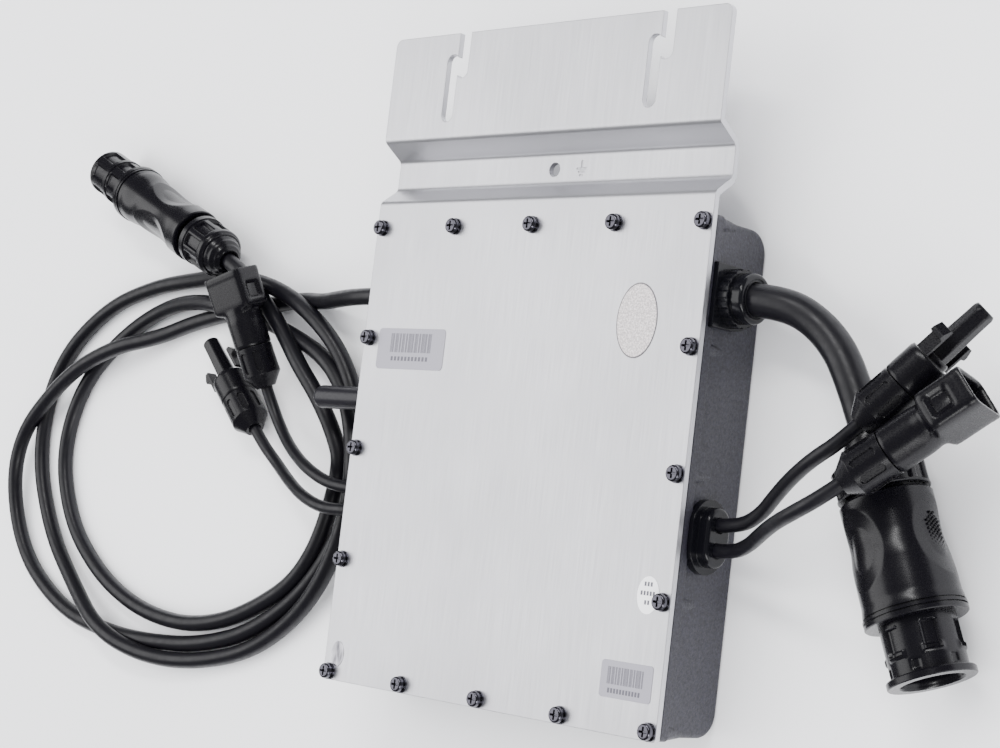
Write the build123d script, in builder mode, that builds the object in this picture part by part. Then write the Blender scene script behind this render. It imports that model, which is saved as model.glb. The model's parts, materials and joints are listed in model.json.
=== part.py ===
from build123d import *
import os
from math import radians, tan

# Twin-input solar microinverter lying on its black front face, mounting plate up.
# Millimetres. +Z leaves the plate, +Y runs towards the hanging flange, z = 0 is the case's front.

os.makedirs("parts", exist_ok=True)

# ---- Driving dimensions: case ----
case_length = 211.4
case_height = 229.2
case_depth = 40.0
case_wall = 3.0
rim_overhang = 1.6
rim_depth = 5.0
rim_width = 7.6
case_end_radius = 11.0
case_side_radius = 2.2
screw_inset = 3.8
boss_depth = 11.0
boss_foot_radius = 2.4
screw_hole_depth = 12.5
groove_width = 4.0
groove_depth = 1.0
groove_pitch = 18.0
groove_count = 10
standoff_top = 10.0
standoff_radius = 3.6

# ---- Driving dimensions: plate, gasket and screws ----
plate_overhang = 0.3
plate_thickness = 3.0
gasket_thickness = 0.8
recess_depth = 10.5
recess_start = 124.0
recess_slope = 8.0
recess_floor = 14.5
recess_exit = 8.0
flange_rise = 2.2
flange_end = 207.0
bend_radius = 3.5
flange_corner = 4.0
slot_width = 7.6
slot_offset = 6.9
slot_spacing = 128.2
slot_centre = 0.0
slot_bottom = 162.8
slot_shoulder = 196.5
slot_entry_bottom = 184.5
slot_corner = 3.6
ground_hole_radius = 3.4
screw_clearance = 0.25
screw_thread_radius = 1.95
head_radius = 3.7
head_height = 2.4
spring_washer_radius = 3.4
spring_washer_thickness = 0.9
flat_washer_radius = 4.1
flat_washer_thickness = 0.8
screws_across = 5
screws_up = 5

# ---- Driving dimensions: glands and cables ----
gland_height = 24.2
ac_gland_y = 79.5
dc_gland_y = -25.5
outlet_cable_diameter = 15.0
inlet_cable_diameter = 9.0
lead_diameter = 6.4
lead_pitch = 11.0
play = 0.3

# ---- Derived places ----
half_x = case_length / 2
half_y = case_height / 2
wall_x = half_x - rim_overhang
wall_y = half_y - rim_overhang
plate_bottom = case_depth + gasket_thickness
plate_top = plate_bottom + plate_thickness
plate_half_x = half_x + plate_overhang
plate_foot = -(half_y + plate_overhang)
screw_x = half_x - screw_inset
screw_y = half_y - screw_inset
bore_x = wall_x - case_wall
screw_places = [
    (x, y)
    for column in range(screws_across)
    for row in range(screws_up)
    for x in [screw_x * (2 * column / (screws_across - 1) - 1)]
    for y in [screw_y * (2 * row / (screws_up - 1) - 1)]
    if column in (0, screws_across - 1) or row in (0, screws_up - 1)
]
standoff_places = [(x, y) for x in (-80, 80) for y in (-92, 0, 92)]


def save(piece, node):
    """Labels a finished piece and writes it as the node's STEP file."""
    piece.part.label = node
    export_step(piece.part, f"parts/{node}.step")


def frame_between(back, front):
    """The plane at back whose normal runs to front and whose x direction is level."""
    axis = (Vector(*front) - Vector(*back)).normalized()
    level = axis.cross(Vector(0, 0, 1)).normalized()
    return Plane(origin=back, x_dir=level, z_dir=axis)


def profile(frame, points):
    """A closed outline of (distance along, radius) points in a plane through the frame's axis."""
    side = Plane(origin=frame.origin, x_dir=frame.z_dir, z_dir=frame.y_dir)
    with BuildSketch(side) as outline:
        with BuildLine():
            Polyline(*points, close=True)
        make_face()
    return outline.sketch


def turned(frame, outer, inner=()):
    """A turned piece from its outer outline, with an optional inner outline cut away."""
    axis = Axis(frame.origin, frame.z_dir)
    with BuildPart() as piece:
        revolve(profile(frame, outer), axis=axis)
        if inner:
            revolve(profile(frame, inner), axis=axis, mode=Mode.SUBTRACT)
    return piece


def stepped(stations):
    """Closes a list of (distance, radius) stations along the axis into an outline."""
    return [(stations[0][0], 0), *stations, (stations[-1][0], 0)]


# ---- Gland openings: one round hole and one long hole through each side wall ----
# Each tuple is (side, cable diameter): +1 is the outlet side, -1 the inlet side.
gland_flange_thickness = 3.5
gland_ring_length = 6.0
gland_nose_length = 6.0
ac_gland_sides = {"outlet": (1, outlet_cable_diameter), "inlet": (-1, inlet_cable_diameter)}
dc_sides = {"outlet": 1, "inlet": -1}
dc_flange_length = 33.0
dc_flange_height = 24.0
dc_boss_length = 26.5
dc_boss_height = 15.5
dc_boss_depth = 5.5
lead_bore_radius = lead_diameter / 2 + play
spigot_margin = 4.0
flange_margin = 2.6


def wall_frame(side, y):
    """A plane on the outside of a side wall, facing outwards, with its x direction along +Y."""
    return Plane(origin=(side * wall_x, y, gland_height), x_dir=(0, 1, 0), z_dir=(side, 0, 0))


def ac_seat_radius(cable):
    """The radius of the round hole in the wall for a gland on this cable."""
    return cable / 2 + spigot_margin


earth_boss_length = 6.0
earth_seat = Plane(origin=(-wall_x - earth_boss_length, -47, 33.3), z_dir=(-1, 0, 0))

# ---- Case ----
# A die-cast tray: long rounded ends, straight sides, a thick rim and a boss under each screw.
with BuildPart() as case_shell:
    with BuildSketch(Plane.YZ):
        with Locations((0, case_depth / 2)):
            body_side = Rectangle(2 * wall_y, case_depth)
        fillet(body_side.vertices().group_by(Axis.Z)[0], radius=case_end_radius)
    extrude(amount=wall_x, both=True)
    fillet(case_shell.edges().filter_by(Axis.Z), radius=case_side_radius)
    with BuildSketch(Plane.XY.offset(case_depth - rim_depth)):
        RectangleRounded(2 * half_x, 2 * half_y, case_side_radius)
    extrude(amount=rim_depth)
    # Half cones carry the screws: flush with the rim at the top, nearly lost in the wall below.
    with Locations(*[(x, y, case_depth - rim_depth - boss_depth / 2) for x, y in screw_places]):
        Cone(boss_foot_radius, screw_inset, boss_depth)
    with BuildSketch(Plane.XY.offset(case_wall)):
        Rectangle(2 * bore_x, 2 * (wall_y - case_wall))
    extrude(amount=case_depth, mode=Mode.SUBTRACT)
    # The screw land inside the rim, opened again in its middle.
    with BuildSketch(Plane.XY.offset(case_depth - rim_depth)):
        Rectangle(2 * wall_x, 2 * wall_y)
        Rectangle(2 * (half_x - rim_width), 2 * (half_y - rim_width), mode=Mode.SUBTRACT)
    extrude(amount=rim_depth)
    with BuildSketch(Plane.XY.offset(case_wall)):
        with Locations(*standoff_places):
            Circle(standoff_radius)
    extrude(amount=standoff_top - case_wall)
    with BuildSketch(Plane.XY.offset(standoff_top)):
        with Locations(*standoff_places):
            Circle(1.5)
    extrude(amount=-5, mode=Mode.SUBTRACT)
    with BuildSketch(Plane.XY.offset(case_depth)):
        with Locations(*screw_places):
            Circle(screw_thread_radius + 0.05)
    extrude(amount=-screw_hole_depth, mode=Mode.SUBTRACT)
    with BuildSketch(Plane.XY):
        with GridLocations(groove_pitch, 0, groove_count, 1):
            SlotOverall(180, groove_width, rotation=90)
    extrude(amount=groove_depth, mode=Mode.SUBTRACT)
    for side, cable in ac_gland_sides.values():
        with BuildSketch(wall_frame(side, ac_gland_y)):
            Circle(ac_seat_radius(cable) + play)
        extrude(amount=-2 * case_wall, mode=Mode.SUBTRACT)
        # The flange stands up into a pocket in the rim's overhang.
        with BuildSketch(wall_frame(side, ac_gland_y)):
            pocket = 2 * (ac_seat_radius(cable) + flange_margin + play)
            Rectangle(pocket, pocket)
        extrude(amount=rim_overhang, mode=Mode.SUBTRACT)
    for side in dc_sides.values():
        with BuildSketch(wall_frame(side, dc_gland_y)):
            SlotOverall(dc_flange_length + 2 * play, dc_flange_height + 2 * play)
        extrude(amount=rim_overhang, mode=Mode.SUBTRACT)
        with BuildSketch(wall_frame(side, dc_gland_y)):
            SlotOverall(dc_boss_length - 2 + 2 * play, dc_boss_height - 3 + 2 * play)
        extrude(amount=-2 * case_wall, mode=Mode.SUBTRACT)
    # A boss under the plate edge on the inlet wall carries the outside earth screw.
    with BuildSketch(earth_seat):
        Circle(4.6)
    extrude(amount=-earth_boss_length - 1)
    with BuildSketch(earth_seat):
        Circle(screw_thread_radius + 0.05)
    extrude(amount=-earth_boss_length - 1, mode=Mode.SUBTRACT)
save(case_shell, "case_shell")

# ---- Mounting plate: flat over the case, a pressed channel, then the hanging flange ----
plate_edge = [
    (plate_foot, plate_top),
    (recess_start, plate_top),
    (recess_start + recess_slope, plate_top - recess_depth),
    (recess_start + recess_slope + recess_floor, plate_top - recess_depth),
    (recess_start + recess_slope + recess_floor + recess_exit, plate_top + flange_rise),
    (flange_end, plate_top + flange_rise),
]
flange_top = plate_top + flange_rise
channel_centre = recess_start + recess_slope + recess_floor / 2


def slot_outline(x_low, x_high, y_low, y_high):
    """A round-cornered window in the flange between two pairs of edges."""
    with BuildSketch(Plane.XY.offset(flange_top + 1)) as window:
        with Locations(((x_low + x_high) / 2, (y_low + y_high) / 2)):
            RectangleRounded(x_high - x_low, y_high - y_low, slot_corner)
    return window.sketch


with BuildPart() as mounting_plate:
    with BuildSketch(Plane.YZ):
        with BuildLine():
            face_line = FilletPolyline(*plate_edge, radius=bend_radius)
            offset(face_line, amount=plate_thickness, side=Side.RIGHT)
        make_face()
    extrude(amount=plate_half_x, both=True)
    corner_edges = mounting_plate.edges().filter_by(Axis.Z).group_by(Axis.Y)
    fillet(corner_edges[-1], radius=flange_corner)
    fillet(corner_edges[0], radius=1.5)
    with BuildSketch(Plane.XY.offset(plate_top)):
        with Locations(*screw_places):
            Circle(screw_thread_radius + screw_clearance)
        with Locations((0, channel_centre)):
            Circle(ground_hole_radius)
    extrude(amount=-2 * plate_thickness - recess_depth, mode=Mode.SUBTRACT)
    for slot_x in (slot_centre - slot_spacing / 2, slot_centre + slot_spacing / 2):
        hang_low = slot_x - slot_width / 2
        entry_low = hang_low + slot_offset
        extrude(
            slot_outline(hang_low, hang_low + slot_width, slot_bottom, slot_shoulder),
            amount=-3 * plate_thickness,
            mode=Mode.SUBTRACT,
        )
        extrude(
            slot_outline(entry_low, entry_low + slot_width, slot_entry_bottom, flange_end + 20),
            amount=-3 * plate_thickness,
            mode=Mode.SUBTRACT,
        )
    # The earth sign pressed into the channel floor: a stem and three shrinking bars.
    with BuildSketch(Plane.XY.offset(plate_top - recess_depth)):
        with Locations((17, channel_centre + 2)):
            Rectangle(0.8, 3.6)
        for bar, width in enumerate((6.0, 4.0, 2.0)):
            with Locations((17, channel_centre - 1.6 * bar)):
                Rectangle(width, 0.7)
    extrude(amount=-0.25, mode=Mode.SUBTRACT)
save(mounting_plate, "mounting_plate")

with BuildPart() as case_gasket:
    with BuildSketch(Plane.XY.offset(case_depth)):
        Rectangle(2 * half_x - 1, 2 * half_y - 1)
        Rectangle(2 * (half_x - rim_width), 2 * (half_y - rim_width), mode=Mode.SUBTRACT)
        with Locations(*screw_places):
            Circle(screw_thread_radius + screw_clearance, mode=Mode.SUBTRACT)
    extrude(amount=gasket_thickness)
save(case_gasket, "case_gasket")

# ---- Cover screws with a spring washer and a flat washer each, and the earth screw ----
washer_stack = flat_washer_thickness + spring_washer_thickness
screw_length = 12.0


def pan_screws(seats, length):
    """Cross-recessed pan head screws, one on each plane, whose normal leaves the head."""
    with BuildPart() as screws:
        for seat in seats:
            with BuildSketch(seat.offset(-length)):
                Circle(screw_thread_radius)
            extrude(amount=length + washer_stack + 0.2)
            with BuildSketch(seat.offset(washer_stack)):
                Circle(head_radius)
            extrude(amount=head_height)
        heads = screws.edges().filter_by(GeomType.CIRCLE).filter_by(
            lambda edge: abs(edge.radius - head_radius) < 0.01
        )
        tops = [edge for edge in heads if any(on_top(edge, seat) for seat in seats)]
        fillet(tops, radius=1.1)
        for seat in seats:
            with BuildSketch(seat.offset(washer_stack + head_height)):
                Rectangle(4.4, 0.9)
                Rectangle(0.9, 4.4)
            extrude(amount=-1.5, mode=Mode.SUBTRACT)
    return screws


def on_top(edge, seat):
    """True for a head's outer rim."""
    height = seat.to_local_coords(edge.arc_center).Z
    return abs(height - washer_stack - head_height) < 0.01


def washers(seats):
    """A flat washer and a split spring washer under each head."""
    with BuildPart() as stack:
        for seat in seats:
            with BuildSketch(seat):
                Circle(flat_washer_radius)
                Circle(screw_thread_radius + 0.05, mode=Mode.SUBTRACT)
            extrude(amount=flat_washer_thickness)
            with BuildSketch(seat.offset(flat_washer_thickness)):
                Circle(spring_washer_radius)
                Circle(screw_thread_radius + 0.05, mode=Mode.SUBTRACT)
            extrude(amount=spring_washer_thickness)
            with BuildSketch(seat.offset(flat_washer_thickness)):
                with Locations((spring_washer_radius - 0.8, 0)):
                    Rectangle(3.2, 0.5)
            extrude(amount=spring_washer_thickness, mode=Mode.SUBTRACT)
    return stack


cover_seats = [Plane(origin=(x, y, plate_top)) for x, y in screw_places]
cover_screws = pan_screws(cover_seats, screw_length)
save(cover_screws, "cover_screws")
save(washers([*cover_seats, earth_seat]), "screw_washers")
save(pan_screws([earth_seat], 6.0), "earth_screw")

# ---- Labels stuck on the plate ----
label_thickness = 0.2


with BuildPart() as serial_labels:
    with BuildSketch(Plane.XY.offset(plate_top)):
        with Locations((-72.0, 50.3)):
            RectangleRounded(46.5, 20.2, 2.2)
        with Locations((86.5, -91.2)):
            RectangleRounded(29.0, 16.2, 1.6)
    extrude(amount=label_thickness)
save(serial_labels, "serial_labels")
with BuildPart() as oval_label:
    with BuildSketch(Plane(origin=(69.7, 66.5, plate_top))):
        Ellipse(11.6, 17.0)
    extrude(amount=label_thickness)
save(oval_label, "oval_label")
with BuildPart() as seal_stickers:
    with BuildSketch(Plane.XY.offset(plate_top)):
        with Locations((93.4, -53.2)):
            Ellipse(6.0, 8.2)
        with Locations((-97.3, -101.8)):
            Ellipse(4.4, 6.2)
        with Locations(*screw_places):
            Circle(flat_washer_radius + 0.2, mode=Mode.SUBTRACT)
    extrude(amount=label_thickness)
save(seal_stickers, "seal_stickers")

# ---- Antenna stub on the inlet wall ----
antenna_y = 26.0
antenna_z = 26.8
antenna_radius = 6.0
antenna_length = 46.0
antenna_base = Plane(origin=(-wall_x, antenna_y, antenna_z), x_dir=(0, 1, 0), z_dir=(-1, 0, 0))
with BuildPart() as antenna_nut:
    with BuildSketch(antenna_base):
        RegularPolygon(radius=8.0, side_count=6)
        Circle(3.2, mode=Mode.SUBTRACT)
    extrude(amount=4)
save(antenna_nut, "antenna_nut")
with BuildPart() as antenna_stub:
    with BuildSketch(antenna_base.offset(0.2)):
        Circle(3.1)
    extrude(amount=4)
    with BuildSketch(antenna_base.offset(4)):
        Circle(antenna_radius)
    extrude(amount=antenna_length)
    tip_edges = antenna_stub.edges().group_by(Axis.X)[0]
    fillet(tip_edges, radius=4.5)
save(antenna_stub, "antenna_stub")

# ---- AC cable glands: U-shaped flange with a spigot, then a ribbed nut with a nose ----
gland_seals = []
for place, (side, cable) in ac_gland_sides.items():
    frame = wall_frame(side, ac_gland_y)
    seat = ac_seat_radius(cable)
    flange_half = seat + flange_margin
    body_bore = cable / 2 + 1.2
    ring_start = gland_flange_thickness
    nose_start = ring_start + gland_ring_length
    nose_end = nose_start + gland_nose_length
    with BuildPart() as gland_body:
        with BuildSketch(frame):
            Rectangle(2 * flange_half, 2 * flange_half)
            Circle(seat, mode=Mode.SUBTRACT)
        extrude(amount=gland_flange_thickness)
        round_edges = gland_body.edges().filter_by(Axis.X).group_by(Axis.Z)[0]
        fillet(round_edges, radius=flange_half - 2.5)
        with BuildSketch(frame.offset(-case_wall)):
            Circle(seat)
            Circle(body_bore, mode=Mode.SUBTRACT)
        extrude(amount=case_wall + nose_start - 1)
    save(gland_body, f"ac_{place}_gland_body")
    grip = seat + 1.6
    with BuildPart() as gland_nut:
        with BuildSketch(frame.offset(ring_start)):
            Circle(grip)
        extrude(amount=gland_ring_length - 0.6)
        with BuildSketch(frame.offset(ring_start)):
            with PolarLocations(grip + 0.7, 18):
                Circle(1.3)
        extrude(amount=gland_ring_length - 0.6, mode=Mode.SUBTRACT)
        with BuildSketch(frame.offset(nose_start - 0.6)):
            Circle(seat - 0.6)
        extrude(amount=0.6)
        with BuildSketch(frame.offset(nose_start)):
            Circle(seat - 0.2)
        extrude(amount=gland_nose_length)
        nose_rim = gland_nut.faces().sort_by(Axis.X)[-1 if side > 0 else 0].edges()
        fillet(nose_rim, radius=1.8)
        with BuildSketch(frame.offset(ring_start)):
            Circle(seat)
        extrude(amount=nose_start - ring_start - 1, mode=Mode.SUBTRACT)
        with BuildSketch(frame.offset(ring_start)):
            Circle(body_bore)
        extrude(amount=nose_end, mode=Mode.SUBTRACT)
    save(gland_nut, f"ac_{place}_gland_nut")
    with BuildPart() as seal:
        with BuildSketch(frame.offset(-case_wall)):
            Circle(body_bore)
            Circle(cable / 2, mode=Mode.SUBTRACT)
        extrude(amount=case_wall + nose_end - 0.5)
    gland_seals.append(seal.part)

# ---- DC lead glands: an oval flange and boss that two leads pass through ----
dc_face = gland_flange_thickness + dc_boss_depth
for place, side in dc_sides.items():
    frame = wall_frame(side, dc_gland_y)
    with BuildPart() as dc_gland:
        with BuildSketch(frame):
            SlotOverall(dc_flange_length, dc_flange_height)
        extrude(amount=gland_flange_thickness)
        with BuildSketch(frame.offset(gland_flange_thickness)):
            SlotOverall(dc_boss_length, dc_boss_height)
        extrude(amount=dc_boss_depth)
        face_rim = dc_gland.faces().sort_by(Axis.X)[-1 if side > 0 else 0].edges()
        fillet(face_rim, radius=1.6)
        with BuildSketch(frame.offset(-case_wall)):
            SlotOverall(dc_boss_length - 2, dc_boss_height - 3)
        extrude(amount=case_wall)
        with BuildSketch(frame.offset(-case_wall)):
            with GridLocations(lead_pitch, 0, 2, 1):
                Circle(lead_bore_radius)
        extrude(amount=case_wall + dc_face, mode=Mode.SUBTRACT)
    save(dc_gland, f"dc_{place}_gland")
    with BuildPart() as seal:
        with BuildSketch(frame.offset(-case_wall)):
            with GridLocations(lead_pitch, 0, 2, 1):
                Circle(lead_bore_radius)
                Circle(lead_diameter / 2, mode=Mode.SUBTRACT)
        extrude(amount=case_wall + dc_face - 0.5)
    gland_seals.append(seal.part)
with BuildPart() as cable_seals:
    for seal_part in gland_seals:
        add(seal_part)
save(cable_seals, "cable_seals")

# ---- Electronics inside the case ----
board_thickness = 1.6
board_half_x = 94.0
board_half_y = 104.0
board_top = standoff_top + board_thickness
with BuildPart() as main_board:
    with BuildSketch(Plane.XY.offset(standoff_top)):
        RectangleRounded(2 * board_half_x, 2 * board_half_y, 3)
        with Locations(*standoff_places):
            Circle(1.7, mode=Mode.SUBTRACT)
    extrude(amount=board_thickness)
save(main_board, "main_board")

with BuildPart() as board_screws:
    with BuildSketch(Plane.XY.offset(board_top)):
        with Locations(*standoff_places):
            Circle(2.8)
    extrude(amount=2)
    with BuildSketch(Plane.XY.offset(board_top)):
        with Locations(*standoff_places):
            Circle(1.45)
    extrude(amount=-6)
save(board_screws, "board_screws")

# Two step-up transformers, one for each input: a ferrite core round a wound bobbin.
transformer_places = [(18, -58), (18, 52)]
core_length = 42.0
core_width = 34.0
core_height = 21.0
winding_width = 24.0
window_height = 13.0
with BuildPart() as transformer_cores:
    with BuildSketch(Plane.XY.offset(board_top)):
        with Locations(*transformer_places):
            Rectangle(core_length, core_width)
    extrude(amount=core_height)
    with BuildSketch(Plane.XY.offset(board_top + 4)):
        with Locations(*transformer_places):
            Rectangle(winding_width, core_width + 2)
    extrude(amount=window_height, mode=Mode.SUBTRACT)
    with BuildSketch(Plane.XY.offset(board_top + 4)):
        with Locations(*transformer_places):
            Rectangle(9, core_width)
    extrude(amount=window_height)
save(transformer_cores, "transformer_cores")
with BuildPart() as transformer_windings:
    with BuildSketch(Plane.XY.offset(board_top + 4.3)):
        with Locations(*transformer_places):
            RectangleRounded(winding_width - 0.6, core_width + 12, 7)
        with Locations(*transformer_places):
            Rectangle(9.6, core_width + 0.6, mode=Mode.SUBTRACT)
    extrude(amount=window_height - 0.6)
save(transformer_windings, "transformer_windings")


def upright_cans(places, radius, height, groove):
    """Round parts standing on the board, with a rolled groove near the top."""
    with BuildPart() as cans:
        with BuildSketch(Plane.XY.offset(board_top)):
            with Locations(*places):
                Circle(radius)
        extrude(amount=height)
        with BuildSketch(Plane.XY.offset(board_top + 2.5)):
            with Locations(*places):
                Circle(radius)
                Circle(radius - groove, mode=Mode.SUBTRACT)
        extrude(amount=1.2, mode=Mode.SUBTRACT)
    return cans


def board_blocks(places, width, length, height, corner):
    """Rectangular parts standing on the board."""
    with BuildPart() as blocks:
        with BuildSketch(Plane.XY.offset(board_top)):
            with Locations(*places):
                RectangleRounded(width, length, corner)
        extrude(amount=height)
    return blocks


input_can_places = [(x, y) for x in (56, 72) for y in (-64, -46, 30, 48)]
with BuildPart() as electrolytic_capacitors:
    add(upright_cans(input_can_places, 7.5, 20, 0.6).part)
    add(upright_cans([(-42, -70), (-42, -44)], 11, 22, 0.7).part)
save(electrolytic_capacitors, "electrolytic_capacitors")
save(board_blocks([(-42, 20), (-42, 42), (-20, 12)], 18, 8, 14, 1), "film_capacitors")
save(board_blocks([(44, -8), (60, -8), (-70, -30), (-70, -52)], 15, 5, 19, 0.5), "power_transistors")
save(board_blocks([(-62, 66), (-42, 66)], 15, 26, 16, 1), "grid_relays")
save(board_blocks([(-76, 26)], 18, 26, 3.2, 0.5), "radio_module")
terminal_places = [(78, 78), (84, -25.5), (-82, 74), (-84, -25.5)]
save(board_blocks(terminal_places, 10, 18, 10, 0.5), "wire_terminals")
with BuildPart() as output_choke:
    with BuildSketch(Plane.XY.offset(board_top)):
        with Locations((-60, -4)):
            Circle(13)
            Circle(5, mode=Mode.SUBTRACT)
    extrude(amount=12)
    fillet(output_choke.edges().group_by(Axis.Z)[-1], radius=2)
save(output_choke, "output_choke")

# ---- Solar lead connectors ----
dc_nut_length = 23.0
dc_nut_radius = 10.2
dc_stub_start = 10.0
dc_stub_radius = 7.6
dc_barrel_radius = 10.0
pin_barrel_length = 22.0
mouth_length = 20.0
mouth_width = 28.0
mouth_height = 18.4
socket_barrel_length = 15.0
probe_length = 29.0
probe_radius = 4.7
probe_collar_radius = 6.8
finger_offset = 10.4
finger_length = 13.5
finger_width = 6.0
finger_thickness = 1.8
dc_rib_count = 8


def dc_nut(frame):
    """The back nut: a cone onto the lead, then a barrel with long grip windows round it."""
    rim = dc_nut_radius
    bore = lead_diameter / 2 + play
    outer = [(0, bore), (0, 5.2), (4, 8.0), (7, rim), (dc_nut_length - 0.3, rim - 0.3)]
    shell = turned(frame, [*outer, (dc_nut_length - 0.3, bore)])
    with BuildPart() as nut:
        add(shell.part)
        with BuildSketch(frame.offset(dc_stub_start - play)):
            Circle(dc_stub_radius + play)
        extrude(amount=dc_nut_length, mode=Mode.SUBTRACT)
        for rib in range(dc_rib_count):
            turn = Location(frame) * Location((0, 0, 0), (0, 0, rib * 360 / dc_rib_count))
            window = Plane(turn * Location((rim + 1.0, 0, 14.4), (0, 90, 0)))
            with BuildSketch(window):
                SlotOverall(11.6, 3.4)
            extrude(amount=-2.0, mode=Mode.SUBTRACT)
    return nut


def dc_barrel(frame, length):
    """The housing's threaded stub inside the nut and the round barrel in front of it."""
    start = dc_stub_start
    shoulder = dc_nut_length
    outline = [(start, dc_stub_radius), (shoulder, dc_stub_radius), (shoulder, dc_barrel_radius - 0.6)]
    outline += [(shoulder + 1, dc_barrel_radius), (shoulder + length, dc_barrel_radius - 0.4)]
    return turned(frame, stepped(outline)).part


def pin_housing(frame):
    """The housing with the eight-sided mouth that takes the other connector's probe and fingers."""
    front = dc_nut_length + pin_barrel_length
    with BuildPart() as housing:
        add(dc_barrel(frame, pin_barrel_length))
        with BuildSketch(frame.offset(front - 1)) as block:
            Rectangle(mouth_width, mouth_height)
            chamfer(block.vertices(), length=4.8)
        extrude(amount=mouth_length + 1)
        with BuildSketch(frame.offset(front + 2)) as cavity:
            Rectangle(mouth_width - 3.2, mouth_height - 3.2)
            chamfer(cavity.vertices(), length=4.0)
        extrude(amount=mouth_length, mode=Mode.SUBTRACT)
        # A window in each narrow side catches the other connector's fingers.
        middle = frame.from_local_coords((0, 0, front + 7.5))
        with BuildSketch(Plane(origin=middle, x_dir=frame.z_dir, z_dir=frame.x_dir)):
            Rectangle(9, 9.6)
        extrude(amount=mouth_width, both=True, mode=Mode.SUBTRACT)
    return housing


def socket_housing(frame):
    """The housing with the long six-sided probe, bored for its contact."""
    front = dc_nut_length + socket_barrel_length
    with BuildPart() as housing:
        add(dc_barrel(frame, socket_barrel_length))
        with BuildSketch(frame.offset(front - 1)):
            RegularPolygon(radius=probe_radius * 1.08, side_count=6)
        extrude(amount=probe_length + 1)
        with BuildSketch(frame.offset(front - 1)):
            Circle(probe_collar_radius)
        extrude(amount=3.2)
        with BuildSketch(frame.offset(front + 4)):
            Circle(2.7)
        extrude(amount=probe_length, mode=Mode.SUBTRACT)
    return housing


def latch_finger(frame, hand):
    """A springy arm beside the probe with a barb at its tip; hand is +1 or -1."""
    root = dc_nut_length + socket_barrel_length + play
    inner = finger_offset - finger_thickness / 2
    outer = finger_offset + finger_thickness / 2
    tip = root + finger_length
    outline = [(hand * inner, root), (hand * inner, tip), (hand * (outer + 0.4), tip)]
    outline += [(hand * (outer + 2.4), tip - 3.4), (hand * (outer + 2.4), tip - 5)]
    outline += [(hand * outer, tip - 5.6), (hand * outer, root)]
    side = Plane(origin=frame.origin, x_dir=frame.x_dir, z_dir=-frame.y_dir)
    with BuildPart() as finger:
        with BuildSketch(side):
            with BuildLine():
                Polyline(*outline, close=True)
            make_face()
        extrude(amount=finger_width / 2, both=True)
    return finger


def round_contact(frame, start, length, radius, bore=0):
    """A contact pin, or a tube where it has a bore."""
    inner = [(start + 2, 0), (start + 2, bore), (start + length + 1, bore), (start + length + 1, 0)]
    outer = stepped([(start, radius), (start + length - 0.6, radius), (start + length, radius * 0.8)])
    return turned(frame, outer, inner if bore else ())


# Each connector lies where its lead ends: (back of the nut, a point ahead on its axis, roll).
dc_connectors = {
    "outlet_socket": ((194, 25.6, 46.8), (232.5, 70.6, 31.8), 90),
    "outlet_pin": ((195, 1, 56.3), (243.3, 40.4, 43.3), 90),
    "inlet_pin": ((-209.6, 30.4, 16), (-226.2, 87, 36), 0),
    "inlet_socket": ((-220.6, 7.4, 11), (-266.6, 52.4, 11), 0),
}
contact_pins = []
contact_tubes = []
for place, (back, ahead, roll) in dc_connectors.items():
    frame = Plane(Location(frame_between(back, ahead)) * Location((0, 0, 0), (0, 0, roll)))
    save(dc_nut(frame), f"dc_{place}_nut")
    if place.endswith("pin"):
        save(pin_housing(frame), f"dc_{place}_housing")
        pin_start = dc_nut_length + pin_barrel_length + 2
        contact_pins.append(round_contact(frame, pin_start, mouth_length - 6, 2.0).part)
    else:
        save(socket_housing(frame), f"dc_{place}_housing")
        tube_start = dc_nut_length + socket_barrel_length + 4
        contact_tubes.append(round_contact(frame, tube_start, probe_length - 6, 2.6, 2.05).part)
        save(latch_finger(frame, 1), f"dc_{place}_finger_a")
        save(latch_finger(frame, -1), f"dc_{place}_finger_b")
with BuildPart() as dc_contact_pins:
    for contact in contact_pins:
        add(contact)
save(dc_contact_pins, "dc_contact_pins")
with BuildPart() as dc_contact_tubes:
    for contact in contact_tubes:
        add(contact)
save(dc_contact_tubes, "dc_contact_tubes")

# ---- AC connectors: the inlet cable ends in a plug, the outlet cable in a socket ----
ac_plug_back = (-250.0, 99.5, 20.4)
ac_plug_ahead = (-380.5, 155.3, 15.6)
ac_socket_back = (181.3, 25.4, 21.4)
ac_socket_ahead = (223.7, -72.8, 21.4)


def gripped_nut(frame, stations, stub_start, stub_radius, cable, ribs, rib_start, rib_end):
    """A back nut with flats cut round its grip, hollow for the housing's stub."""
    end = stations[-1][0]
    largest = max(radius for _, radius in stations)
    bore = cable / 2 + play
    shell = turned(frame, [(0, bore), *stations, (end, bore)])
    with BuildPart() as nut:
        add(shell.part)
        with BuildSketch(frame.offset(stub_start - play)):
            Circle(stub_radius + play)
        extrude(amount=end, mode=Mode.SUBTRACT)
        with BuildSketch(frame.offset(rib_start)):
            with PolarLocations(largest + 0.9, ribs):
                SlotOverall(4.4, 3.0, rotation=90)
        extrude(amount=rib_end - rib_start, mode=Mode.SUBTRACT)
    return nut


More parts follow.
